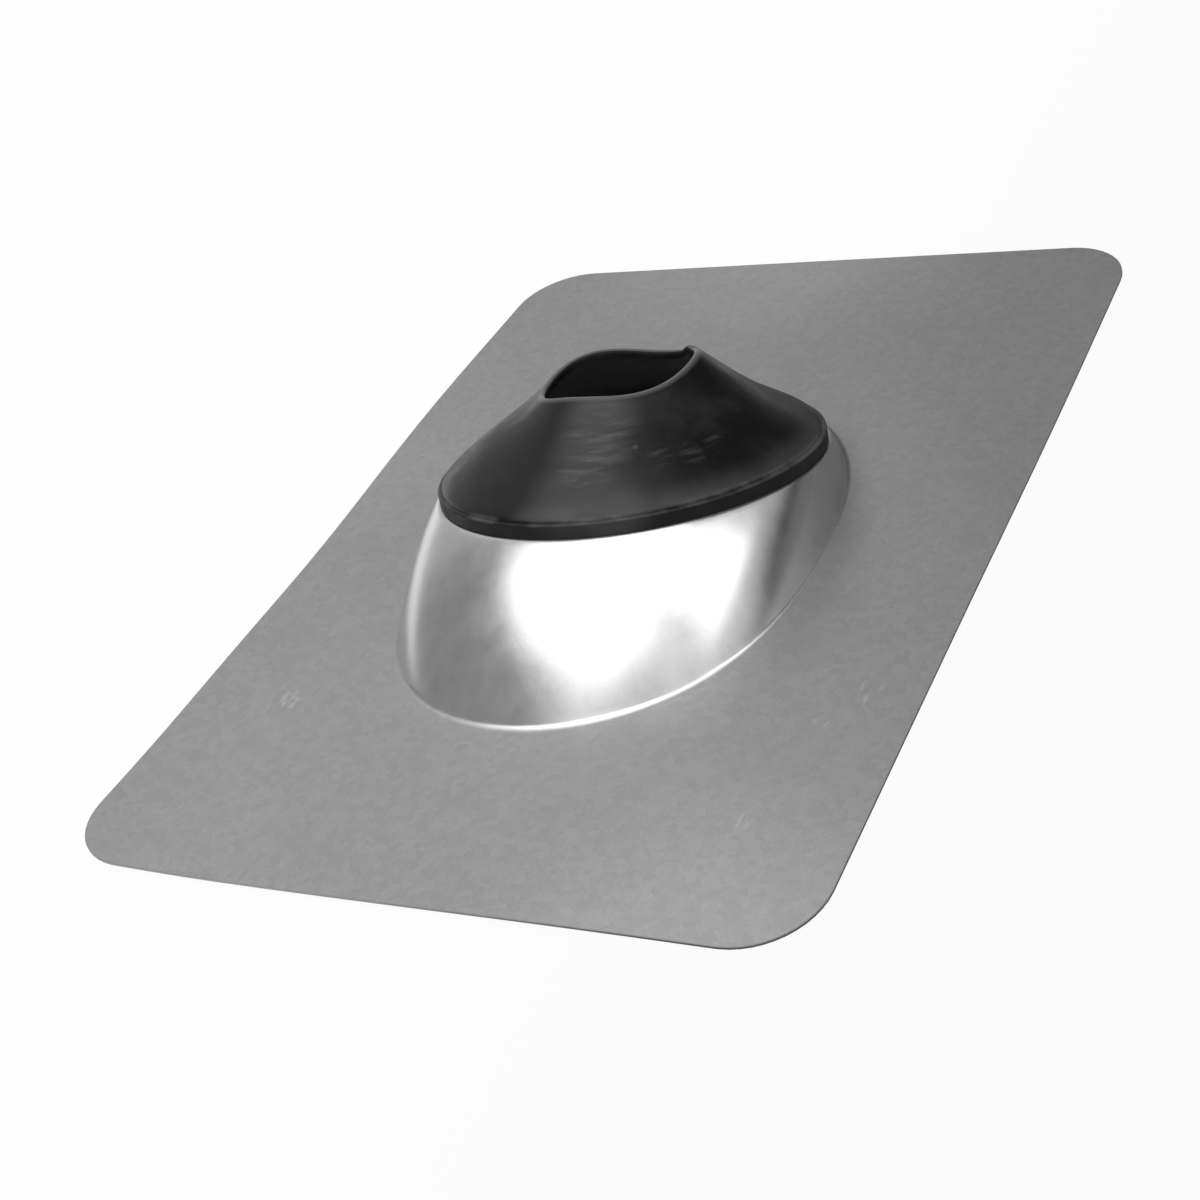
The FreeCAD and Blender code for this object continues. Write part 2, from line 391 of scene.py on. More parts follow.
class Tree:
    """Adds nodes to a tree and joins them by socket."""

    def __init__(self, tree: bpy.types.NodeTree) -> None:
        """Keep the tree that nodes are added to."""
        self.tree = tree

    def add(self, kind: str, *inputs: object, **settings: object) -> bpy.types.Node:
        """Node of a kind with its settings and inputs.

        Args:
            kind: type name of the node.
            *inputs: values, nodes or output sockets by position.
            **settings: node properties.

        Returns:
            The node.
        """
        node = self.tree.nodes.new(kind)
        for key, value in settings.items():
            setattr(node, key, value)
        for socket, value in zip([s for s in node.inputs if s.enabled], inputs):
            self.feed(socket, value)
        return node

    def feed(self, socket: bpy.types.NodeSocket, value: object) -> None:
        """Link an output to a socket, or set the socket's value."""
        if isinstance(value, bpy.types.Node):
            value = next(output for output in value.outputs if output.enabled)
        if isinstance(value, bpy.types.NodeSocket):
            self.tree.links.new(value, socket)
        else:
            socket.default_value = value

    def math(self, operation: str, *inputs: object) -> bpy.types.Node:
        """Math node."""
        return self.add("ShaderNodeMath", *inputs, operation=operation)

    def ramp(self, value: object, low: object, high: object,
             to: tuple[float, float] = (0.0, 1.0)) -> bpy.types.Node:
        """Smooth step of a value from low to high."""
        return self.add("ShaderNodeMapRange", value, low, high, *to, interpolation_type="SMOOTHSTEP")


@dataclass(frozen=True)
class Spot:
    """A round patch of a surface: its middle and its reach, in millimetres."""

    x: float
    y: float
    z: float
    reach: float


@dataclass(frozen=True)
class Noise:
    """Settings of a noise: waves to the metre, layers of finer waves and their strength."""

    scale: float
    detail: float = 2.0
    roughness: float = 0.5


class ShaderTree(Tree):
    """Shader nodes under short names."""

    def noise(self, place: object, noise: Noise) -> bpy.types.NodeSocket:
        """Noise value at a point, which lies round one half."""
        node = self.add("ShaderNodeTexNoise", place)
        node.inputs["Scale"].default_value = noise.scale
        node.inputs["Detail"].default_value = noise.detail
        node.inputs["Roughness"].default_value = noise.roughness
        return node.outputs["Fac"]

    def plus(self, level: object, value: object, amount: object) -> bpy.types.Node:
        """A level with an amount of a value added."""
        return self.math("ADD", level, self.math("MULTIPLY", value, amount))

    def swing(self, value: object, amount: float) -> bpy.types.Node:
        """Change about zero of a value that lies round one half."""
        return self.math("MULTIPLY", self.math("SUBTRACT", value, 0.5), amount)

    def mix(self, share: object, first: object, second: object) -> bpy.types.Node:
        """Mix of two values."""
        return self.plus(self.math("MULTIPLY", self.math("SUBTRACT", 1.0, share), first),
                         share, second)

    def spots(self, place: object, spots: Iterable[Spot], core: float) -> object:
        """How far a point lies inside the nearest of some round patches.

        Args:
            place: the point, in metres.
            spots: the patches.
            core: share of the reach up to which a patch is full.

        Returns:
            0 outside every patch and 1 in the core of one.
        """
        mask: object = 0.0
        for spot in spots:
            away = self.add("ShaderNodeVectorMath", place, (spot.x * MM, spot.y * MM, spot.z * MM),
                            operation="DISTANCE").outputs["Value"]
            mask = self.math("MAXIMUM", mask, self.ramp(away, spot.reach * MM, core * spot.reach * MM))
        return mask

    def stretched(self, place: object, scale: tuple[float, float, float],
                  turn: float = 0.0) -> bpy.types.Node:
        """Position scaled along each axis, and turned about the upright one."""
        mapping = self.add("ShaderNodeMapping", place)
        mapping.inputs["Rotation"].default_value = (0, 0, turn)
        mapping.inputs["Scale"].default_value = scale
        return mapping

    def grey(self, value: object) -> bpy.types.NodeSocket:
        """Colour of equal parts of a value."""
        return self.add("ShaderNodeCombineColor", value, value, value).outputs[0]

    def attribute(self, mark: Mark) -> bpy.types.NodeSocket:
        """Value of a point attribute."""
        return self.add("ShaderNodeAttribute", attribute_name=mark.value).outputs["Fac"]

    def relief(self, height: object, strength: float, depth: float) -> bpy.types.Node:
        """Bump from a height, with its depth in millimetres."""
        bump = self.add("ShaderNodeBump")
        bump.inputs["Strength"].default_value = strength
        bump.inputs["Distance"].default_value = depth * MM
        self.feed(bump.inputs["Height"], height)
        return bump


def new_material(name: str) -> tuple[bpy.types.Material, ShaderTree, bpy.types.Node]:
    """Material with its tree and its principled shader, joined to the output."""
    material = bpy.data.materials.new(name)
    material.use_nodes = True
    material.node_tree.nodes.clear()
    tree = ShaderTree(material.node_tree)
    shader = tree.add("ShaderNodeBsdfPrincipled")
    output = tree.add("ShaderNodeOutputMaterial")
    tree.feed(output.inputs["Surface"], shader.outputs[0])
    return material, tree, shader


# ----------------------------------------------------------------- the materials

@dataclass(frozen=True)
class SheetFinish:
    """Galvanised steel: dull and mottled on the flange, burnished where it was drawn, with painted
    light on the flange.
    """

    plate_grey: float = 0.50
    dome_grey: float = 0.74
    plate_roughness: float = 0.50
    dome_roughness: float = 0.24
    cut_grey: float = 0.42
    cut_from: float = 0.80
    spangle_scale: float = 420.0
    spangle_grey: float = 0.05
    blotch: Noise = Noise(16.0, 3.0)
    blotch_grey: float = 0.05
    grain: Noise = Noise(1600.0)
    grain_grey: float = 0.15
    dome_fade: float = 0.9
    scuffs: tuple[Spot, ...] = (
        Spot(-79, -88, SHEET, 12),
        Spot(91, -78, SHEET, 7),
        Spot(99, -69, SHEET, 7),
        Spot(86, -61, SHEET, 4),
        Spot(83, -118, SHEET, 4),
    )
    scratch: Noise = Noise(480.0, 3.0, 0.6)
    scratch_stretch: float = 0.35
    scratch_turn: float = 0.9
    scratch_limits: tuple[float, float] = (0.50, 0.68)
    scratch_grey: float = 0.16
    scratch_polish: float = 0.12
    # Painted light: the flange is made paler at its back edge and its front right corner, standing in
    # for lamp light.
    painted_light_spots: tuple[Spot, ...] = (Spot(-10, 180, SHEET, 95), Spot(90, -165, SHEET, 80))
    painted_light_grey: float = 0.10
    spot_core: float = 0.2
    streak: Noise = Noise(120.0, 5.0, 0.62)
    streak_stretch: float = 0.45
    streak_grey: float = 0.22
    streak_roughness: float = 0.14
    relief: Noise = Noise(90.0)
    relief_grain: float = 0.6
    relief_strength: float = 0.06
    relief_depth: float = 0.2

    def scratches(self, tree: ShaderTree, place: object) -> object:
        """Fine scratches inside a few small patches of the flange."""
        drawn_out = tree.stretched(place, (1.0, self.scratch_stretch, 1.0), self.scratch_turn)
        lines = tree.ramp(tree.noise(drawn_out, self.scratch), *self.scratch_limits)
        return tree.math("MULTIPLY", tree.spots(place, self.scuffs, self.spot_core), lines)

    def streaks(self, tree: ShaderTree, place: object) -> object:
        """Faint upright streaks that the drawing left on the dome."""
        upright = tree.stretched(place, (1.0, 1.0, self.streak_stretch))
        return tree.swing(tree.noise(upright, self.streak), 1.0)

    def build(self) -> bpy.types.Material:
        """The material."""
        material, tree, shader = new_material("galvanised_steel")
        place = tree.add("ShaderNodeTexCoord").outputs["Object"]
        drawn = tree.attribute(Mark.DRAWN)
        cut = tree.ramp(tree.attribute(Mark.CUT), self.cut_from, 1.0)
        cells = tree.add("ShaderNodeTexVoronoi", place)
        cells.inputs["Scale"].default_value = self.spangle_scale
        spangle = tree.add("ShaderNodeSeparateColor", cells.outputs["Color"]).outputs[0]
        blotch = tree.noise(place, self.blotch)
        grain = tree.noise(place, self.grain)
        mottle = tree.math("ADD", tree.swing(spangle, self.spangle_grey),
                           tree.swing(blotch, self.blotch_grey))
        mottle = tree.math("ADD", mottle, tree.swing(grain, self.grain_grey))
        fade = tree.math("SUBTRACT", 1.0, tree.math("MULTIPLY", drawn, self.dome_fade))
        streak = tree.math("MULTIPLY", self.streaks(tree, place), drawn)
        scratch = self.scratches(tree, place)
        level = tree.plus(tree.mix(drawn, self.plate_grey, self.dome_grey), mottle, fade)
        # Painted light: paler patches of the flange.
        level = tree.plus(level, tree.spots(place, self.painted_light_spots, self.spot_core), self.painted_light_grey)
        level = tree.plus(level, streak, self.streak_grey)
        level = tree.mix(cut, level, self.cut_grey)
        level = tree.plus(level, scratch, self.scratch_grey)
        rough = tree.mix(drawn, self.plate_roughness, self.dome_roughness)
        rough = tree.plus(rough, scratch, -self.scratch_polish)
        rough = tree.plus(rough, streak, self.streak_roughness)
        height = tree.plus(tree.noise(place, self.relief), grain, self.relief_grain)
        tree.feed(shader.inputs["Base Color"], tree.grey(level))
        tree.feed(shader.inputs["Roughness"], rough)
        shader.inputs["Metallic"].default_value = 1.0
        tree.feed(shader.inputs["Normal"],
                  tree.relief(height, self.relief_strength, self.relief_depth))
        return material


@dataclass(frozen=True)
class Belt:
    """A belt round the collar: heights above its band where it fades in and out again."""

    start: float
    full_from: float
    full_to: float
    end: float

    def share(self, tree: ShaderTree, along: object, band_height: float) -> bpy.types.Node:
        """How far a height above the rim's plane lies inside the belt."""
        start, full_from, full_to, end = (
            band_height * MM + height * MM
            for height in (self.start, self.full_from, self.full_to, self.end))
        return tree.math("MULTIPLY", tree.ramp(along, start, full_from),
                         tree.ramp(along, end, full_to))


@dataclass(frozen=True)
class RubberFinish:
    """Moulded black rubber with a dull sheen, handling marks, a paler cut lip and a painted sheen and
    edge highlight.
    """

    rim: Rim
    band_height: float
    grey: float = 0.004
    roughness: float = 0.40
    reflection: float = 0.29
    lip_grey: float = 0.13
    cloud: Noise = Noise(60.0, 4.0, 0.6)
    cloud_limits: tuple[float, float] = (0.45, 0.75)
    cloud_grey: float = 0.010
    cloud_roughness: float = 0.55
    fine: Noise = Noise(1400.0)
    fine_grey: float = 0.004
    band_fade: float = 0.6
    band_roughness: float = 0.18
    # Painted highlight: a light line along the top edge of the band, where that edge would catch the
    # light.
    painted_edge_highlight: Belt = Belt(-0.9, -0.2, 0.2, 1.4)
    painted_edge_highlight_limits: tuple[float, float] = (0.40, 0.62)
    painted_edge_highlight_grey: float = 0.06
    dust_and_sheen_grey: float = 0.045
    strip: Belt = Belt(0.1, 0.9, 1.0, 6.0)
    strip_noise: Noise = Noise(30.0)
    strip_limits: tuple[float, float] = (0.35, 0.60)
    strip_share: float = 0.6
    # Wiped streaks: the first two patches, on the front of the cone, are painted sheen; the rest are
    # handling marks.
    wipe_and_sheen_spots: tuple[Spot, ...] = (
        Spot(11, -19, 47, 15),
        Spot(10, -29, 44, 12),
        Spot(29, -20, 41, 5),
        Spot(36, -15, 39, 5),
        Spot(40, -8, 37, 4.5),
    )
    wipe_noise: Noise = Noise(70.0, 5.0, 0.65)
    wipe_squeeze: float = 10.0
    wipe_limits: tuple[float, float] = (0.44, 0.68)
    # Painted sheen: round patches on the front of the cone made paler, standing in for the light's
    # sheen.
    painted_sheen_spots: tuple[Spot, ...] = (
        Spot(8, -12, 50.5, 15),
        Spot(9, -24, 46, 16),
        Spot(10, -37, 41, 19),
        Spot(22, -42, 38, 15),
    )
    painted_sheen_share: float = 0.75
    speck: Spot = Spot(21.6, -19.6, 43.8, 1.2)
    spot_core: float = 0.3
    relief_cloud: float = 2.0
    relief_strength: float = 0.25
    relief_depth: float = 0.15

    def dust_and_sheen(self, tree: ShaderTree, place: object, along: object) -> bpy.types.Node:
        """Share of pale dust and marks, and of a sheen painted on the front of the cone.

        Args:
            tree: tree of the material.
            place: the point, in metres.
            along: its height above the rim's plane, in metres.

        Returns:
            Wiped streaks round the pipe, a painted sheen, a strip over the band and one speck.
        """
        turned = tree.add("ShaderNodeMapping", place, vector_type="TEXTURE")
        turned.inputs["Location"].default_value = self.rim.centre * MM
        turned.inputs["Rotation"].default_value = (-self.rim.tilt, 0, 0)
        rings = tree.stretched(turned, (1.0, 1.0, self.wipe_squeeze))
        lines = tree.ramp(tree.noise(rings, self.wipe_noise), *self.wipe_limits)
        wiped_and_sheen = tree.math("MULTIPLY", lines, tree.spots(place, self.wipe_and_sheen_spots, self.spot_core))
        patchy = tree.ramp(tree.noise(turned, self.strip_noise), *self.strip_limits)
        strip = tree.math("MULTIPLY", self.strip.share(tree, along, self.band_height), patchy)
        # The sheen patches are painted sheen, added as paler colour.
        dust_and_sheen = tree.plus(wiped_and_sheen, tree.spots(place, self.painted_sheen_spots, self.spot_core), self.painted_sheen_share)
        dust_and_sheen = tree.plus(dust_and_sheen, strip, self.strip_share)
        return tree.math("MAXIMUM", dust_and_sheen, tree.spots(place, (self.speck,), self.spot_core))

    def build(self) -> bpy.types.Material:
        """The material."""
        material, tree, shader = new_material("moulded_rubber")
        place = tree.add("ShaderNodeTexCoord").outputs["Object"]
        lip, along = tree.attribute(Mark.LIP), tree.attribute(Mark.ALONG)
        cloud = tree.noise(place, self.cloud)
        fine = tree.noise(place, self.fine)
        # Painted highlight along the band's top edge, broken up by the cloud noise.
        painted_edge_highlight = tree.math("MULTIPLY", self.painted_edge_highlight.share(tree, along, self.band_height),
                         tree.ramp(cloud, *self.painted_edge_highlight_limits))
        level = tree.plus(self.grey, tree.ramp(cloud, *self.cloud_limits), self.cloud_grey)
        level = tree.plus(level, fine, self.fine_grey)
        # Pale dust and marks, with a painted sheen on the front of the cone.
        level = tree.plus(level, self.dust_and_sheen(tree, place, along), self.dust_and_sheen_grey)
        level = tree.plus(level, painted_edge_highlight, self.painted_edge_highlight_grey)
        level = tree.mix(lip, level, self.lip_grey)
        top = self.band_height * MM
        band = tree.ramp(along, top, top - self.band_fade * MM)
        rough = tree.math("ADD", self.roughness, tree.swing(cloud, self.cloud_roughness))
        rough = tree.plus(rough, band, self.band_roughness)
        height = tree.plus(fine, cloud, self.relief_cloud)
        tree.feed(shader.inputs["Base Color"], tree.grey(level))
        tree.feed(shader.inputs["Roughness"], rough)
        shader.inputs["Specular IOR Level"].default_value = self.reflection
        tree.feed(shader.inputs["Normal"],
                  tree.relief(height, self.relief_strength, self.relief_depth))
        return material


# ------------------------------------------------------------ the rubber collar

class GeometryTree(Tree):
    """Geometry nodes under short names, with the group's own sockets."""

    def input(self, name: str, kind: str) -> str:
        """Add an input socket to the group.

        Args:
            name: label of the socket.
            kind: socket type.

        Returns:
            The identifier that a modifier sets it by.
        """
        return self.tree.interface.new_socket(name, in_out="INPUT", socket_type=kind).identifier

    def integer(self, operation: str, *inputs: object) -> bpy.types.Node:
        """Integer math node."""
        return self.add("FunctionNodeIntegerMath", *inputs, operation=operation)


@dataclass(frozen=True)
class Wave:
    """One turn-by-turn wave of the lip, along the pipe axis."""

    name: str
    count: int
    height: float
    crest: float


@dataclass(frozen=True)
class Collar:
    """The collar: a profile turned about the pipe, with a lip that isn't quite even."""

    rim: Rim
    band_radius: float = 59.3
    band_height: float = 4.2
    band_round: float = 0.8
    band_step: float = 0.5
    band_chamfer: float = 0.25
    band_middle: float = 1.5
    cone_wall: float = 2.2
    cone_lean: float = 0.6
    cone_start: float = 0.14
    cone_waist: float = 0.42
    hole_radius: float = 23.0
    hole_length: float = 2.4
    hole_middle: float = 0.6
    lip_wall: float = 1.6
    lip_round: float = 0.35
    lip_soft: float = 0.6
    lip_crown: float = 0.05
    rise: float = 29.4
    foot_inside: float = 53.5
    foot_share: float = 0.1
    foot_drop: float = 0.5
    foot_middle: float = 2.0
    groove_inside: float = 55.9
    groove_outside: float = 56.7
    groove_top: float = 3.1
    groove_chamfer: float = 1.0
    inside_gaps: tuple[float, float] = (0.8, 0.4)
    slope_step: float = 0.01
    cone_steps: int = 48
    inside_steps: int = 24
    round_steps: int = 6
    segments: int = 256
    still_radius: float = 46.0
    lip_shift: tuple[float, float] = (0.6, 0.65)
    pale_lip: tuple[float, float] = (0.5, 0.05)
    merge: float = 0.001
    sharp: float = math.radians(40)
    nib_height: float = 1.1
    nib_turn: float = math.radians(53)
    nib_half_width: float = math.radians(11)
    waves: tuple[Wave, ...] = (
        Wave("Tilt", 1, 1.43, math.radians(40)),
        Wave("Fold", 2, 0.52, math.radians(-27)),
        Wave("Curl", 3, 1.44, math.radians(22)),
    )

    def cone(self) -> list[Vector]:
        """Control points of the outside of the cone, as radius and height."""
        start = Vector((self.band_radius - self.band_round - self.band_step, self.band_height))
        end = Vector((self.hole_radius + self.lip_wall, self.rise))
        climb = end.y - start.y
        return [start, start + Vector((-self.cone_lean, self.cone_start * climb)),
                Vector(((start.x + end.x) / 2, start.y + self.cone_waist * climb)), end]

    def outside(self, share: float) -> Vector:
        """Point on the outside of the cone, from the band to the lip."""
        weights = ((1 - share) ** 3, 3 * share * (1 - share) ** 2, 3 * share ** 2 * (1 - share),
                   share ** 3)
        return sum((point * weight for point, weight in zip(self.cone(), weights)), Vector((0, 0)))

    def inside(self, share: float) -> Vector:
        """Point on the inside of the cone."""
        step = (self.outside(min(share + self.slope_step, 1))
                - self.outside(max(share - self.slope_step, 0)))
        return self.outside(share) - Vector((step.y, -step.x)).normalized() * self.cone_wall

    def profile(self) -> list[Vector]:
        """Closed profile, up the outside and down the inside, as radius and height."""
        corner = Vector((self.band_radius - self.band_round, self.band_height - self.band_round))
        turns = [step * math.pi / (2 * self.round_steps) for step in range(self.round_steps + 1)]
        band = [Vector((self.band_radius - self.band_chamfer, 0)),
                Vector((self.band_radius, self.band_chamfer)),
                Vector((self.band_radius, self.band_middle))]
        band += [corner + Vector((math.cos(turn), math.sin(turn))) * self.band_round for turn in turns]
        cone = [self.outside(step / self.cone_steps) for step in range(self.cone_steps)]
        tip = self.outside(1)
        lip = [tip + Vector((-self.lip_crown, -self.lip_round * self.lip_soft)),
               tip + Vector((-self.lip_round, 0)),
               Vector((self.hole_radius + self.lip_wall / 2, self.rise + self.lip_crown)),
               Vector((self.hole_radius + self.lip_round, self.rise)),
               Vector((self.hole_radius, self.rise - self.lip_round)),
               Vector((self.hole_radius, self.rise - self.hole_length * self.hole_middle)),
               Vector((self.hole_radius, self.rise - self.hole_length))]
        under = [self.inside(1 - step / self.inside_steps) for step in range(self.inside_steps)]
        least = self.hole_radius + self.inside_gaps[0]
        most = self.foot_inside - self.inside_gaps[1]
        under = [point for point in under if least < point.x < most]
        foot = [Vector((self.foot_inside, self.inside(self.foot_share).y - self.foot_drop)),
                Vector((self.foot_inside, self.foot_middle)),
                Vector((self.foot_inside, 0)),
                Vector((self.groove_inside, 0)),
                Vector((self.groove_inside, self.groove_top)),
                Vector((self.groove_outside, self.groove_top)),
                Vector((self.groove_outside, self.groove_chamfer)),
                Vector((self.groove_outside + self.groove_chamfer, 0))]
        return band + cone + lip + under + foot

    def tree(self, points: int, material: bpy.types.Material,
             ) -> tuple[bpy.types.NodeTree, dict[str, object]]:
        """Geometry Nodes group that turns the profile about the pipe axis.

        Args:
            points: number of points of the profile.
            material: finish of the collar.

        Returns:
            The group and the value of each input by identifier.
        """
        group = bpy.data.node_groups.new("turned_collar", "GeometryNodeTree")
        tree = GeometryTree(group)
        tree.input("Profile", "NodeSocketGeometry")
        values = {
            tree.input("Segments", "NodeSocketInt"): self.segments,
            tree.input("Profile Points", "NodeSocketInt"): points,
            tree.input("Lip Radius", "NodeSocketFloat"): (self.hole_radius + self.lip_wall) * MM,
            tree.input("Still Radius", "NodeSocketFloat"): self.still_radius * MM,
            tree.input("Lip Shift", "NodeSocketVector"):
                (self.lip_shift[0] * MM, self.lip_shift[1] * MM, 0),
            tree.input("Rim Centre", "NodeSocketVector"): tuple(self.rim.centre * MM),
            tree.input("Pipe Tilt", "NodeSocketFloat"): -self.rim.tilt,
            tree.input("Nib Height", "NodeSocketFloat"): self.nib_height * MM,
            tree.input("Nib Turn", "NodeSocketFloat"): self.nib_turn,
            tree.input("Rubber", "NodeSocketMaterial"): material,
        }
        for wave in self.waves:
            values[tree.input(f"{wave.name} Height", "NodeSocketFloat")] = wave.height * MM
            values[tree.input(f"{wave.name} Crest", "NodeSocketFloat")] = wave.crest
        group.interface.new_socket("Collar", in_out="OUTPUT", socket_type="NodeSocketGeometry")
        given = tree.add("NodeGroupInput").outputs
        columns = tree.integer("ADD", given["Segments"], 1)
        rows = tree.integer("ADD", given["Profile Points"], 1)
        grid = tree.add("GeometryNodeMeshGrid", 1.0, 1.0, columns, rows)
        index = tree.add("GeometryNodeInputIndex")
        column = tree.integer("DIVIDE", index, rows)
        row = tree.integer("MODULO", tree.integer("MODULO", index, rows), given["Profile Points"])
        sample = tree.add("GeometryNodeSampleIndex", given["Profile"],
                          tree.add("GeometryNodeInputPosition"), row, data_type="FLOAT_VECTOR")
        pair = tree.add("ShaderNodeSeparateXYZ", sample)
        radius, along = pair.outputs[0], pair.outputs[2]
        angle = tree.math("MULTIPLY", tree.math("DIVIDE", column, given["Segments"]), FULL_TURN)
        weight = tree.ramp(radius, given["Still Radius"], given["Lip Radius"])
        away = tree.math("ABSOLUTE", tree.math("SUBTRACT", angle, given["Nib Turn"]))
        nib = tree.ramp(away, self.nib_half_width, 0.0)
        climb: object = tree.math("MULTIPLY", nib, given["Nib Height"])
        for wave in self.waves:
            turn = tree.math("SUBTRACT", angle, given[f"{wave.name} Crest"])
            turn = tree.math("COSINE", tree.math("MULTIPLY", turn, float(wave.count)))
            climb = tree.math("ADD", climb, tree.math("MULTIPLY", turn, given[f"{wave.name} Height"]))
        place = tree.add("ShaderNodeCombineXYZ",
                         tree.math("MULTIPLY", radius, tree.math("COSINE", angle)),
                         tree.math("MULTIPLY", radius, tree.math("SINE", angle)),
                         tree.math("ADD", along, tree.math("MULTIPLY", weight, climb)))
        shift = tree.add("ShaderNodeVectorMath", given["Lip Shift"], operation="SCALE")
        tree.feed(shift.inputs["Scale"], weight)
        place = tree.add("ShaderNodeVectorMath", place, shift, operation="ADD")
        body = tree.add("GeometryNodeSetPosition", grid)
        tree.feed(body.inputs["Position"], place)
        level = tree.add("GeometryNodeStoreNamedAttribute", body, data_type="FLOAT", domain="POINT")
        level.inputs["Name"].default_value = Mark.ALONG.value
        tree.feed(level.inputs["Value"], along)
        start, full = ((self.rise - depth) * MM for depth in self.pale_lip)
        top = tree.add("ShaderNodeMapRange", along, start, full)
        lip = tree.add("GeometryNodeStoreNamedAttribute", level, data_type="FLOAT", domain="POINT")
        lip.inputs["Name"].default_value = Mark.LIP.value
        tree.feed(lip.inputs["Value"], top)
        merged = tree.add("GeometryNodeMergeByDistance", lip)
        merged.inputs["Distance"].default_value = self.merge * MM
        tilt = tree.add("ShaderNodeCombineXYZ", given["Pipe Tilt"], 0.0, 0.0)
        placed = tree.add("GeometryNodeTransform", merged)
        tree.feed(placed.inputs["Translation"], given["Rim Centre"])
        tree.feed(placed.inputs["Rotation"], tilt)
        real = tree.add("GeometryNodeRealizeInstances", placed)
        painted = tree.add("GeometryNodeSetMaterial", real)
        tree.feed(painted.inputs["Material"], given["Rubber"])
        tree.add("NodeGroupOutput", painted)
        return group, values

    def build(self, material: bpy.types.Material) -> bpy.types.Object:
        """The finished collar."""
        points = self.profile()
        mesh = bpy.data.meshes.new("collar_profile")
        mesh.from_pydata([(point.x * MM, 0, point.y * MM) for point in points],
                         [(index, (index + 1) % len(points)) for index in range(len(points))], [])
        source = bpy.data.objects.new("collar_profile", mesh)
        bpy.context.scene.collection.objects.link(source)
        group, values = self.tree(len(points), material)
        modifier = source.modifiers.new("turned", "NODES")
        modifier.node_group = group
        for identifier, value in values.items():
            modifier[identifier] = value
        bpy.context.view_layer.update()
        turned = source.evaluated_get(bpy.context.evaluated_depsgraph_get())
        made = bpy.data.meshes.new_from_object(turned)
        source.modifiers.remove(modifier)
        bpy.data.objects.remove(source)
        return finished("pipe_collar", made, self.sharp)


# ------------------------------------------------------------------- the setting

def height_limits(height: float, edge: float) -> tuple[float, float]:
    """Upward parts of the directions half an edge below and above a height in degrees."""
    return math.sin(math.radians(height - edge / 2)), math.sin(math.radians(height + edge / 2))


@dataclass(frozen=True)
class Patch:
    """A soft patch of the sky: a range of heading and of height, and how bright it is.

    Headings are degrees from +Y towards +X, heights degrees above the floor. A patch
    that reaches the zenith has no upper edge.
    """

    heading: float
    half_width: float
    low: float
    high: float
    level: float
    side_edge: float
    height_edge: float

    def share(self, tree: ShaderTree, ray: Sequence[object]) -> object:
        """How far a direction lies inside the patch."""
        x, y, z = ray
        flat = tree.math("SQRT", tree.math("ADD", tree.math("MULTIPLY", x, x),
                                           tree.math("MULTIPLY", y, y)))
        turn = math.radians(self.heading)
        facing = tree.math("ADD", tree.math("MULTIPLY", x, math.sin(turn)),
                           tree.math("MULTIPLY", y, math.cos(turn)))
        facing = tree.math("DIVIDE", facing, tree.math("MAXIMUM", flat, NEARLY_UPRIGHT))
        limits = [math.cos(math.radians(self.half_width + side * self.side_edge))
                  for side in (1, -1)]
        inside = tree.ramp(facing, *limits)
        inside = tree.math("MULTIPLY", inside, tree.ramp(z, *height_limits(self.low, self.height_edge)))
        if self.high < ZENITH:
            end, full = reversed(height_limits(self.high, self.height_edge))
            inside = tree.math("MULTIPLY", inside, tree.ramp(z, end, full))
        return inside


@dataclass(frozen=True)
class Sky:
    """Light from all round: a dull room with soft panels, darker walls and a lit ceiling."""

    dull: float = 0.27
    panels: tuple[Patch, ...] = (
        Patch(-57, 19, -20, 60, 0.47, 8, 16),  # wall to the left
        Patch(-48, 24, 24, 60, 0.58, 12, 16),  # its paler upper half
        Patch(135, 64, 8, 60, 0.66, 10, 20),  # wall behind the viewer
        Patch(171, 14, 43, 60, 1.5, 8, 12),  # foot of the front panel
        Patch(176, 96, 50, 90, 2.0, 9, 12),  # front panel
        Patch(-80, 12, 58, 90, 2.0, 8, 10),  # left panel
        Patch(82, 22, 28, 90, 2.0, 7, 10),  # right panel
        Patch(122, 5, 30, 64, 0.9, 6, 16),  # strip beside it
        Patch(14, 36, -30, 62, 0.04, 6, 14),  # dark wall up the slope
        Patch(26, 44, -40, 15, 0.06, 8, 12),  # its lower part, wider
        Patch(57, 8, 15, 78, 0.42, 9, 20),  # strip beside the dark wall
    )
    ceiling_height: float = 70.0
    ceiling_edge: float = 16.0
    ceiling_level: float = 2.0

    def build(self) -> None:
        """Set the world: plain white to the camera, the sky to everything else."""
        world = bpy.data.worlds.new("sky")
        bpy.context.scene.world = world
        world.use_nodes = True
        world.node_tree.nodes.clear()
        tree = ShaderTree(world.node_tree)
        ray = tree.add("ShaderNodeSeparateXYZ",
                       tree.add("ShaderNodeTexCoord").outputs["Generated"]).outputs
        strength: object = self.dull
        for patch in self.panels:
            strength = tree.mix(patch.share(tree, ray), strength, patch.level)
        ceiling = tree.ramp(ray[2], *height_limits(self.ceiling_height, self.ceiling_edge))
        strength = tree.mix(ceiling, strength, self.ceiling_level)
        light = tree.add("ShaderNodeBackground", WHITE, strength)
        white = tree.add("ShaderNodeBackground", WHITE, 1.0)
        seen = tree.add("ShaderNodeLightPath").outputs["Is Camera Ray"]
        tree.add("ShaderNodeOutputWorld", tree.add("ShaderNodeMixShader", seen, light, white))


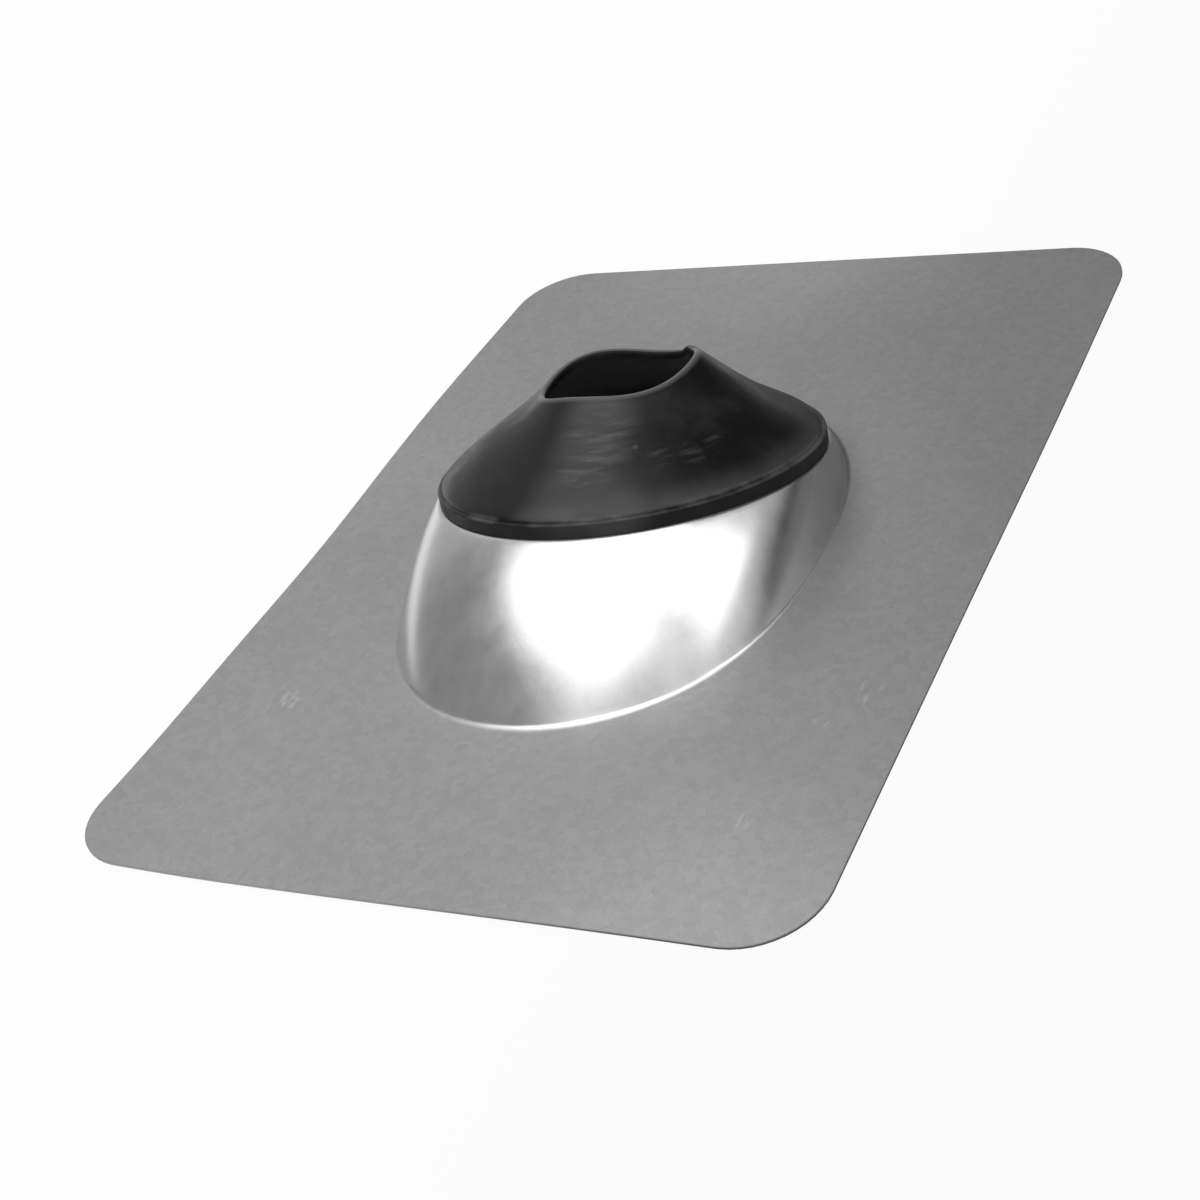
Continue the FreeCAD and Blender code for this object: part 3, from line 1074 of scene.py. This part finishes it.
@dataclass(frozen=True)
class Floor:
    """Floor that is white to the camera and keeps a faint shadow.

    In reflections it is white to the left of the sheet, and as a surface it darkens
    from left to right. Distances are in metres.
    """

    half: float = 6.0
    depth: float = 0.0015
    left_grey: float = 0.85
    right_grey: float = 0.15
    darkening: tuple[float, float] = (-0.05, 0.10)
    mirrored: tuple[float, float] = (-0.12, -0.20)
    glow: float = 0.96
    roughness: float = 0.9

    def build(self) -> None:
        """Make the floor and mark it as stage."""
        corners = [(-1, -1), (1, -1), (1, 1), (-1, 1)]
        mesh = bpy.data.meshes.new("floor")
        mesh.from_pydata([(x * self.half, y * self.half, -self.depth) for x, y in corners], [],
                         [(0, 1, 2, 3)])
        floor = bpy.data.objects.new("floor", mesh)
        bpy.context.scene.collection.objects.link(floor)
        material, tree, shader = new_material("pale_floor")
        place = tree.add("ShaderNodeTexCoord").outputs["Object"]
        side = tree.add("ShaderNodeSeparateXYZ", place).outputs[0]
        level = tree.ramp(side, *self.darkening, (self.left_grey, self.right_grey))
        tree.feed(shader.inputs["Base Color"], tree.grey(level))
        shader.inputs["Roughness"].default_value = self.roughness
        rays = tree.add("ShaderNodeLightPath").outputs
        bounced = tree.math("MAXIMUM", rays["Is Glossy Ray"], rays["Is Transmission Ray"])
        bounced = tree.math("MULTIPLY", bounced, tree.ramp(side, *self.mirrored))
        seen = tree.math("MAXIMUM", rays["Is Camera Ray"], bounced)
        both = tree.add("ShaderNodeMixShader", tree.math("MULTIPLY", seen, self.glow), shader,
                        tree.add("ShaderNodeEmission", WHITE, 1.0))
        output = next(node for node in material.node_tree.nodes if node.type == "OUTPUT_MATERIAL")
        tree.feed(output.inputs["Surface"], both)
        mesh.materials.append(material)
        floor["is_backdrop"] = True


@dataclass(frozen=True)
class Viewpoint:
    """Camera in front of the right-hand corner, rolled a little."""

    lens: float = 60.39
    sensor: float = 36.0
    place: tuple[float, float, float] = (0.29964, -0.42637, 0.32454)
    turn: tuple[float, float, float] = (54.835, 16.943, 25.573)

    def build(self) -> None:
        """Place the camera and make it the scene's own."""
        data = bpy.data.cameras.new("camera")
        data.lens = self.lens
        data.sensor_width = self.sensor
        camera = bpy.data.objects.new("camera", data)
        camera.location = self.place
        camera.rotation_euler = tuple(math.radians(turn) for turn in self.turn)
        bpy.context.scene.collection.objects.link(camera)
        bpy.context.scene.camera = camera


def corners() -> list[list[float]]:
    """Lowest and highest corner of what is shown."""
    return [list(corner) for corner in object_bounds()]


def main() -> None:
    """Build the looks on the frame."""
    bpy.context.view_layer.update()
    bpy.context.scene.view_settings.view_transform = "Standard"
    rim = Rim()
    sheet = BaseSheet(rim, Wall(rim), Plate()).build()
    sheet.data.materials.append(SheetFinish().build())
    turned = Collar(rim)
    collar = turned.build(RubberFinish(rim, turned.band_height).build())
    for piece, node, slot in ((sheet, Node.BASE, Slot.SHEET), (collar, Node.COLLAR, Slot.RUBBER)):
        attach(piece, "root")
        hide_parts(node.value)
        LOG.info("%s: %d faces", piece.name, len(piece.data.polygons))
    Sky().build()
    Floor().build()
    Viewpoint().build()


if __name__ == "__main__":
    logging.basicConfig(level=logging.INFO)
    main()
